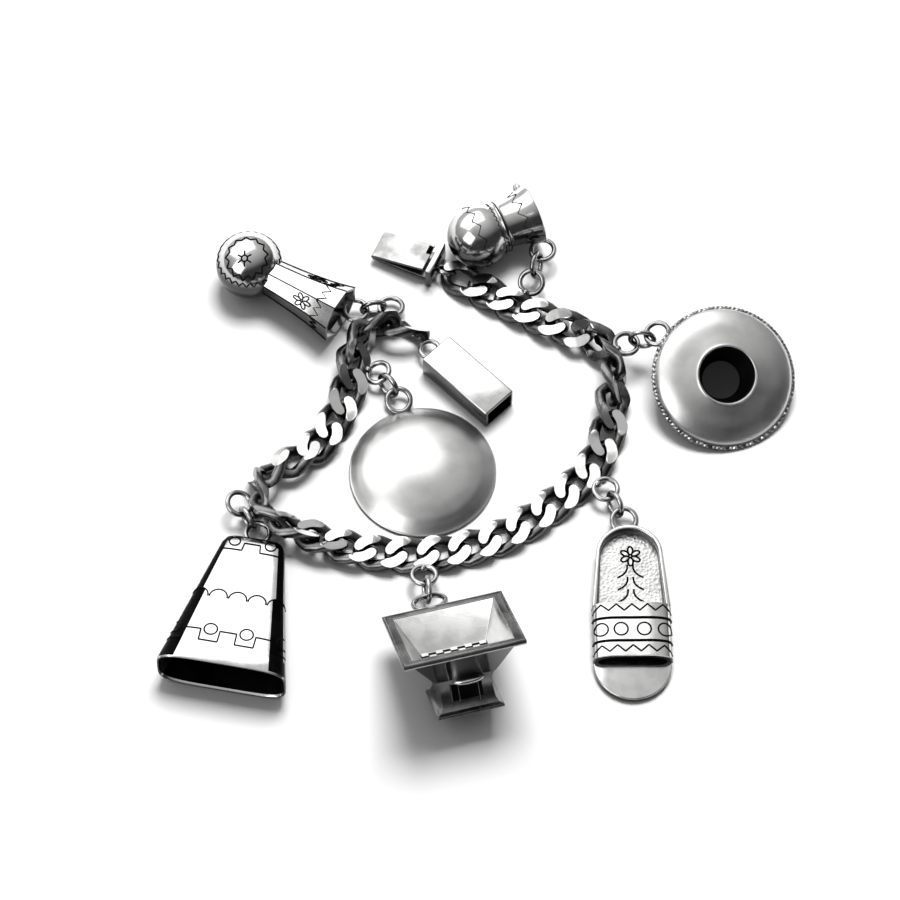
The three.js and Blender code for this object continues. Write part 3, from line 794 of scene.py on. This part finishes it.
upper = flow([(11.6, -BRIM_DROP - 0.1), (11.0, -1.9), (9.0, -0.94), (6.6, -0.3), (5.25, 0.06), (4.95, 0.2),
              (4.65, 0.0), (4.4, -1.2), (3.8, -3.2), (3.2, -CROWN_DEPTH + 0.7), (2.2, -CROWN_DEPTH + 0.05),
              (0, -CROWN_DEPTH)], 5)
under = flow([(0, -CROWN_DEPTH - BRIM_SHEET), (2.6, -CROWN_DEPTH - BRIM_SHEET), (4.0, -CROWN_DEPTH + 0.4),
              (5.2, -1.9), (9.0, -2.6), (11.6, -BRIM_DROP - 0.8)], 5)
hat_line = [(max(p.x, 0), p.y) for p in [*under, *upper]]
hat_form = turned([*hat_line, (11.6, -BRIM_DROP - 0.8)], 96)
for face in hat_form.faces:
    middle = face.calc_center_median()
    if math.hypot(middle.x, middle.y) < HOLLOW_RADIUS and -6.2 < middle.z < -0.35:
        face.material_index = 1
rope = []
for strand in (0, 1):
    line = []
    for i in range(1441):
        turn = math.radians(i / 4)
        twist = ROPE_TURNS * turn + strand * math.pi
        radius = ROPE_RADIUS + STRAND * math.cos(twist)
        height = -BRIM_DROP - 0.42 + STRAND * math.sin(twist)
        line.append(Vector((radius * math.cos(turn), radius * math.sin(turn), height)))
    rope.append(line)
hat_place = at(45.6, 9.9, 7.6, tilted(x=21, y=8))
hat_loop = moved(hoop(RING_RADIUS, RING_WIRE), ring_place((-11.2, 6.8, -4.1), (-1, 0.6, -0.6)))
settle("sombrero", "charm_sombrero", "charm", hat_place, (hat_form, (satin, oxide)),
       (wires(rope, 0.3), wire_silver), (hat_loop, wire_silver))
print("rope strands:", len(rope))

# %% [markdown]
# ## The griddle
# A plain spun dome with a thin flange: nothing on it but its polish.

# %% Griddle
dome = flow([(GRIDDLE_RADIUS, 0.0), (GRIDDLE_RADIUS, 0.35), (12.0, 0.48), (11.8, 0.58), (11.4, 0.85),
             (10.5, 1.5), (9.3, 2.25), (7.0, 3.24), (3.6, 4.16), (0, 4.4)], 5)
inside = flow([(0, 3.5), (3.6, 3.26), (6.7, 2.4), (9.2, 1.1), (10.4, 0)], 4)
griddle_form = turned([(max(p.x, 0), max(p.y, 0)) for p in [*inside, *dome]], 96)
griddle_loop = moved(hoop(RING_RADIUS, RING_WIRE),
                     ring_place((-4.0, GRIDDLE_RADIUS + 0.9, 1.3), (-0.2, 1, 0.4)))
settle("griddle", "charm_griddle", "charm", at(*GRIDDLE_DESIGN),
       (griddle_form, satin), (griddle_loop, wire_silver))
print("griddle radius:", GRIDDLE_RADIUS, "mm")

# %% [markdown]
# ## The cowbell
# Its plan is a rectangle with generous corners that grows toward the mouth.
# The wall is real: the inside is the same form, a little smaller, joined at
# the lip. The engraving is pressed on from the side that faces up.

# %% Cowbell
BELL_LENGTH = 26
BELL_TOP = (9.6, 4.0)
BELL_MOUTH = (21.0, 8.6)
BELL_SHEET = 0.5
BELL_SQUARENESS = 0.45


def bell_half(height, inset):
    """Half the bell's width and depth at a height above its mouth."""
    t = height / BELL_LENGTH
    return [(low + (high - low) * t) / 2 - inset for low, high in zip(BELL_MOUTH, BELL_TOP)]


def cowbell_form():
    form = bmesh.new()
    walls = [(BELL_LENGTH, 1.6), (BELL_LENGTH - 0.2, 0.9), (BELL_LENGTH - 0.8, 0.3), (BELL_LENGTH - 2, 0),
             (20, 0), (14, 0), (8, 0), (3, 0), (0.25, 0), (0, 0.15), (0, BELL_SHEET - 0.15),
             (0.3, BELL_SHEET), (8, BELL_SHEET), (16, BELL_SHEET), (BELL_LENGTH - 1.6, BELL_SHEET)]
    sections = [(*bell_half(*wall), wall[0]) for wall in walls]
    dots = []
    for i in range(48):
        turn = 2 * math.pi * i / 48
        x, y = (math.copysign(abs(c) ** BELL_SQUARENESS, c) * half for c, half in
                zip((math.cos(turn), math.sin(turn)), sections[0]))
        dots.append(form.verts.new((x, y, BELL_LENGTH)))
    drawn(form, dots, sections)
    for face in form.faces:
        middle = face.calc_center_median()
        half_width, half_depth = bell_half(middle.z, BELL_SHEET / 2)
        if abs(middle.x) < half_width and abs(middle.y) < half_depth and 0.2 < middle.z < BELL_LENGTH - 0.5:
            face.material_index = 1
    return form


bell_form = cowbell_form()
print("bell faces:", len(bell_form.faces))

# %% [markdown]
# Rivets hold a stepped band at the bell's top and another near its mouth, with
# a row of arches between them. All of it is drawn on a flat sheet that stands
# before the bell and is pressed back onto the metal.

# %% Cowbell engraving
RIVET_TOP = 24.1
RIVET_LOW = 6.2
RIVET_STEP = 5.8
ARCH_STEP = 3.15

bell_drawing = [circle((x, RIVET_TOP), 0.9, flat=front) for x in (-2.95, 2.95)]
bell_drawing.append([front(x, z) for x, z in
                     ((-5, 22.4), (-1.5, 22.4), (-1.3, 23.9), (1.3, 23.9), (1.5, 22.4), (5, 22.4))])
for k in range(-2, 3):
    sweep = [math.radians(a) for a in range(0, 181, 15)]
    bell_drawing.append([front(ARCH_STEP * k - 1.45 * math.cos(a), 12.6 + 1.5 * math.sin(a)) for a in sweep])
band = []
for k in range(4):
    x = RIVET_STEP * (k - 1.5)
    bell_drawing.append(circle((x, RIVET_LOW), 1.05, flat=front))
    band += [front(x + across, z) for across, z in
             ((-2.9, 6.0), (-1.55, 6.0), (-1.5, 3.9), (1.5, 3.9), (1.55, 6.0))]
bell_drawing.append([*band, front(11.6, 6.0)])
bell_lines = pressed(bell_drawing, bell_form, BACK, 0.14)
bell_lie = math.degrees(math.atan((BELL_MOUTH[1] - BELL_TOP[1]) / 2 / BELL_LENGTH))
bell_place = at(-36.2, -43.5, BELL_MOUTH[1] / 2 + 0.1, tilted(x=-90 - bell_lie, z=-10.5))
bell_loop = moved(hoop(RING_RADIUS, RING_WIRE), ring_place((0, 0, BELL_LENGTH + 1.5), (0, 0, 1), 90))
settle("cowbell", "charm_cowbell", "charm", bell_place, (bell_form, (polished, oxide)),
       (bell_lines, oxide), (bell_loop, wire_silver))
print("bell lies at", round(bell_lie, 2), "degrees")

# %% [markdown]
# ## The brazier
# A square tray with a wide lip stands on a fire box. The tray's floor is a
# grate of small raised squares, laid like a chequerboard, over black oxide.

# %% Brazier
TRAY_SIDE = 19.6
TRAY_FLOOR = 10.6
TRAY_DEPTH = 5.4
BRAZIER_HEIGHT = 12.6
GRATE_SQUARES = 9
FIRE_WALL = -4.22
LIP_WIDTH = 1.6
FOOT_SIDE = 10.8


def lofted(sections, rim=0.0):
    """A four-sided form through (half_x, half_y, z) rectangles, up the outside and down the inside."""
    form = bmesh.new()
    half_x, half_y, z = sections[0]
    dots = [form.verts.new((i * half_x, j * half_y, z)) for i, j in ((-1, -1), (1, -1), (1, 1), (-1, 1))]
    drawn(form, dots, sections)
    if rim:
        sharp = [e for e in form.edges if len(e.link_faces) == 2 and e.calc_face_angle() > 0.4]
        bmesh.ops.bevel(form, geom=sharp, offset=rim, offset_type="OFFSET", segments=2, profile=0.5,
                        affect="EDGES", material=-1, clamp_overlap=True)
    return form


def square(half, z):
    """A closed square line at a height."""
    return [Vector((i * half, j * half, z)) for i, j in ((-1, -1), (1, -1), (1, 1), (-1, 1), (-1, -1))]


tray_half, floor_half, foot_half = TRAY_SIDE / 2, TRAY_FLOOR / 2, FOOT_SIDE / 2
top, grate_at = BRAZIER_HEIGHT, BRAZIER_HEIGHT - TRAY_DEPTH
lip_half = tray_half - LIP_WIDTH
tray_form = lofted([(4.9, 4.9, 6.2), (tray_half - 1.5, tray_half - 1.5, top - 1.1),
                    (tray_half, tray_half, top - 0.75), (tray_half, tray_half, top),
                    (lip_half, lip_half, top - 0.1), (floor_half, floor_half * 0.8, grate_at)], 0.1)
stove_form = lofted([(foot_half, foot_half, 0), (foot_half, foot_half, 0.45), (4.75, 4.75, 0.75),
                     (4.35, 4.35, 1.6), (4.2, 4.2, 3.4), (4.3, 4.3, 5.2), (4.85, 4.85, 6.4)], 0.1)
for face in tray_form.faces:
    if face.normal.z > 0.9 and face.calc_center_median().z > top - 0.4:
        face.material_index = 1
print("tray and stove faces:", len(tray_form.faces) + len(stove_form.faces))

# %% [markdown]
# The grate's squares are small bricks, and every other one is left out. The fire's mouth is a thin black
# panel of painted shade where the opening would be, between two upright lines, under a round hood.

# %% Brazier grate and fire mouth
size = TRAY_FLOOR / GRATE_SQUARES
grate = []
for i in range(GRATE_SQUARES):
    for j in range(GRATE_SQUARES - 2):
        if (i + j) % 2 == 0:
            x = (i - (GRATE_SQUARES - 1) / 2) * size
            y = (j - (GRATE_SQUARES - 3) / 2) * size * 1.02
            grate.append(brick(size * 0.92, size * 0.92, 0.22, (x, y, grate_at + 0.12)))
floor_form = brick(TRAY_FLOOR * 0.99, TRAY_FLOOR * 0.79, 0.06, (0, 0, grate_at + 0.03))
# A thin black sheet of painted shade stands for the fire's opening.
fire_mouth_shade = brick(5.0, 0.12, 4.3, (0, FIRE_WALL - 0.02, 3.1))
hood_shape = Matrix.Translation((0.5, FIRE_WALL - 0.3, 5.6)) @ Matrix.Diagonal((1, 0.5, 0.3, 1))
hood_form = moved(bead(2.6, (0, 0, 0)), hood_shape)
jambs = [[Vector((x, FIRE_WALL - 0.08, 1.1)), Vector((x, FIRE_WALL - 0.06, 5.2))] for x in (-2.5, -1.3, 1.9)]
lip_line = [square(tray_half - 0.32, top), square(lip_half - 0.02, top - 0.12)]
brazier_place = at(2.4, -46.9, 3.4, tilted(x=-39, z=14))
brazier_loop = moved(hoop(2.6, RING_WIRE), ring_place((-1.6, tray_half + 2.3, top - 0.4), (0, 1, 0)))
settle("brazier", "charm_brazier", "charm", brazier_place,
       (tray_form, (polished, shaded)), (stove_form, shaded), (floor_form, oxide),
       *[(g, polished) for g in grate], (fire_mouth_shade, oxide), (hood_form, polished),
       (wires(jambs, 0.16), polished), (wires(lip_line, 0.1), polished), (brazier_loop, wire_silver))
print("grate squares:", len(grate))

# %% [markdown]
# ## The sandal
# The sole is a flat outline with a rounded edge. The heel's low wall follows
# the same outline, so it is a slab between that outline and a smaller one.

# %% Sandal sole
SOLE_LENGTH = 30.4
SOLE_WIDTH = 12.6
SOLE_THICK = 1.1
HEEL_WALL = 3.0
HEEL_SHEET = 0.8
HEEL_FROM = 0.9
SIDES_END = -4


def sole_outline(inset):
    half = SOLE_WIDTH / 2 - inset
    heel = half * 0.86
    end = SOLE_LENGTH / 2 - inset
    back = [(heel * math.cos(math.radians(a)), end - heel + heel * math.sin(math.radians(a)))
            for a in range(0, 181, 9)]
    toe = [(half * math.cos(math.radians(a)), -end + half + half * math.sin(math.radians(a)))
           for a in range(180, 361, 9)]
    return [(half, SIDES_END), *back, (-half, SIDES_END), *toe[:-1]]


sole_form = slab(sole_outline(0), SOLE_THICK, 0.22)
insole_form = slab([dot for dot in sole_outline(0.9) if dot[1] > SIDES_END - 1], 0.06, 0.0, SOLE_THICK - 0.02)
outer = [dot for dot in sole_outline(0) if dot[1] > SIDES_END]
inner = [dot for dot in sole_outline(HEEL_SHEET) if dot[1] > SIDES_END]
half, gap = SOLE_WIDTH / 2, SOLE_WIDTH / 2 - HEEL_SHEET
cup_form = slab([(half, 0.4), *outer, (-half, 0.4), (-gap, 0.4), *reversed(inner), (gap, 0.4)],
                HEEL_WALL - HEEL_FROM, 0.25, HEEL_FROM)
print("sole faces:", len(sole_form.faces) + len(cup_form.faces))

# %% [markdown]
# The strap is a wide arch of sheet: its section is drawn once for the outside
# and once for the inside, and extruded along the sole.

# %% Sandal strap
STRAP_LENGTH = 9.4
STRAP_START = 0.6
STRAP_HEIGHT = 3.9
STRAP_SHEET = 0.8


def strap_line(inset, count=10):
    half, top = SOLE_WIDTH / 2 - inset, STRAP_HEIGHT - inset
    dots = [Vector((-half, 0.9, 0)), Vector((-half, 1.6, 0)), Vector((-half + 0.5, top - 0.75, 0)),
            Vector((-half + 2.6, top, 0)), Vector((0, top + 0.06, 0))]
    side = flow(dots, count)
    return [*side, *[Vector((-p.x, p.y, 0)) for p in reversed(side[:-1])]]


arch = [(p.x, p.y) for p in strap_line(0, 5)] + [(p.x, p.y) for p in reversed(strap_line(STRAP_SHEET, 5))]
strap_form = moved(slab(arch, STRAP_LENGTH, 0.0),
                   Matrix.Translation((0, STRAP_START, 0)) @ Matrix.Rotation(math.pi / 2, 4, "X"))
strap_ends = (STRAP_START - 0.1, STRAP_START - STRAP_LENGTH + 0.1)
rim_lines = [[Vector((p.x, y, p.y)) for p in strap_line(0.12)] for y in strap_ends]
print("strap faces:", len(strap_form.faces))

# %% [markdown]
# Two deep grooves part the strap into three bands: a zigzag, a row of circles
# and another zigzag. The insole has a flower at the heel and a plant below it.

# %% Sandal engraving
FLOWER = (0.2, 10.3)
STEM = 0.1

strap_half = SOLE_WIDTH / 2 - 0.05
strap_drawing = [zigzag((-strap_half, low), (strap_half, low), high - low, 5)
                 for low, high in ((-0.85, 0.25), (-8.1, -7.0))]
strap_drawing += [circle((x, -4.15), 1.1, 26) for x in (-5.0, -1.85, 1.85, 5.2)]
grooves = [[overhead(-strap_half, row), overhead(strap_half, row)] for row in (-2.15, -6.2)]
groove_lines = pressed(grooves, strap_form, DOWN, 0.25)
strap_lines = pressed(strap_drawing, strap_form, DOWN, 0.15)

sole_drawing = []
for i in range(6):
    t = math.radians(60 * i + 30)
    petal = []
    for j in range(13):
        s = 2 * math.pi * j / 12
        u, v = 1.0 + 0.75 * math.cos(s), 0.42 * math.sin(s)
        petal.append(overhead(FLOWER[0] + u * math.cos(t) - v * math.sin(t),
                              FLOWER[1] + u * math.sin(t) + v * math.cos(t)))
    sole_drawing.append(petal)
leaf = ((0.45, 1.1), (0.5, 0.4), (0.75, -0.2), (1.3, -0.75), (2.1, -1.2))
for side in (1, -1):
    for y in (7.6, 5.4, 3.2):
        sole_drawing.append([overhead(STEM + side * x, y + rise) for x, rise in leaf])
sole_lines = pressed(sole_drawing, insole_form, DOWN, 0.17)
sandal_place = at(29.1, -30.6, 0, tilted(z=0.5))
sandal_loop = moved(hoop(RING_RADIUS, RING_WIRE), ring_place((-0.6, SOLE_LENGTH / 2 + 1.4, 1.7), (0, 1, 0.3)))
settle("sandal", "charm_sandal", "charm", sandal_place, (sole_form, polished), (insole_form, stippled),
       (cup_form, polished), (strap_form, polished), (wires(rim_lines, 0.2), polished),
       (strap_lines, oxide), (groove_lines, oxide), (sole_lines, oxide), (sandal_loop, wire_silver))
print("strap and sole lines:", len(strap_drawing) + len(sole_drawing))

# %% [markdown]
# ## Table, light and camera
# Silver shows what is round it, so the lights are made for its reflections.
# One lamp lights the table and casts the shadows, and is hidden from glossy
# rays. Two softboxes do the opposite: they show only as reflections, one high
# behind the bracelet and one at its front left.

# %% Table
table = bmesh.new()
bmesh.ops.create_grid(table, x_segments=1, y_segments=1, size=2.5)
table_mesh = bpy.data.meshes.new("table")
table.to_mesh(table_mesh)
table.free()
table_paint = Paint("table_white")
table_shade = table_paint.node("ShaderNodeBsdfPrincipled", inputs={
    "Base Color": (0.93, 0.93, 0.935, 1), "Roughness": 0.6, "Specular IOR Level": 0.2})
table_paint.node("ShaderNodeOutputMaterial", inputs={"Surface": table_shade})
table_mesh.materials.append(table_paint.material)
floor = bpy.data.objects.new("table", table_mesh)
bpy.context.collection.objects.link(floor)

# %% Lamps
def softbox(name, place, size, power, aim=(0, 0, 0)):
    lamp = bpy.data.lights.new(name, "AREA")
    lamp.shape = "RECTANGLE"
    lamp.size, lamp.size_y = size
    lamp.energy = power
    holder = bpy.data.objects.new(name, lamp)
    holder.location = place
    holder.rotation_euler = (Vector(aim) - Vector(place)).to_track_quat("-Z", "Y").to_euler()
    bpy.context.collection.objects.link(holder)
    return holder


key = softbox("key", (0.05, 0.3, 0.7), (0.34, 0.28), 6.2)
key.visible_glossy = False
reflector = softbox("reflector", (-0.3, 0.45, 0.6), (1.1, 0.75), 2.5)
reflector.visible_diffuse = False
fill = softbox("fill", (-0.6, -0.5, 0.6), (0.6, 0.6), 2.2)
fill.visible_diffuse = False
print("lamps:", [light.name for light in bpy.data.lights])

# %% [markdown]
# The room fades from light overhead, a little behind, to nearly black at the
# other side. A dot product with one direction gives that fade.

# %% Room
ROOM_BRIGHT = (-0.3, 0.6, 0.74)
ROOM_STRENGTH = 0.6

world = bpy.data.worlds.new("room")
world.use_nodes = True
room = world.node_tree
room.nodes.clear()
spot = room.nodes.new("ShaderNodeTexCoord")
slope = room.nodes.new("ShaderNodeVectorMath")
slope.operation = "DOT_PRODUCT"
slope.inputs[1].default_value = ROOM_BRIGHT
ramp = room.nodes.new("ShaderNodeValToRGB")
ROOM_FADE = ((0.02, (0.05, 0.05, 0.052, 1)), (0.95, (1, 1, 1, 1)))
for stop, (place, colour) in zip(ramp.color_ramp.elements, ROOM_FADE):
    stop.position = place
    stop.color = colour
sky = room.nodes.new("ShaderNodeBackground")
sky.inputs["Strength"].default_value = ROOM_STRENGTH
out = room.nodes.new("ShaderNodeOutputWorld")
room.links.new(spot.outputs["Generated"], slope.inputs[0])
room.links.new(slope.outputs["Value"], ramp.inputs[0])
room.links.new(ramp.outputs[0], sky.inputs["Color"])
room.links.new(sky.outputs[0], out.inputs["Surface"])
bpy.context.scene.world = world

# %% [markdown]
# A long lens, held well back and raised, looks at the middle of the layout.

# %% Camera
SPAN = 0.1485
DISTANCE = 0.6
CAMERA_RISE = math.radians(61)
target = shift * MM
camera_data = bpy.data.cameras.new("camera")
camera_data.sensor_width = 36
camera_data.lens = 36 * DISTANCE / SPAN
camera = bpy.data.objects.new("camera", camera_data)
camera.location = target + DISTANCE * Vector((0, -math.cos(CAMERA_RISE), math.sin(CAMERA_RISE)))
camera.rotation_euler = (math.pi / 2 - CAMERA_RISE, 0, 0)
bpy.context.collection.objects.link(camera)
bpy.context.scene.camera = camera
bpy.context.scene.view_settings.view_transform = "Standard"

# %% [markdown]
# The last cell starts with a helper that lists a box's corners.

# %% Sizes and finish
def corners(bounds):
    return [list(corner) for corner in bounds]
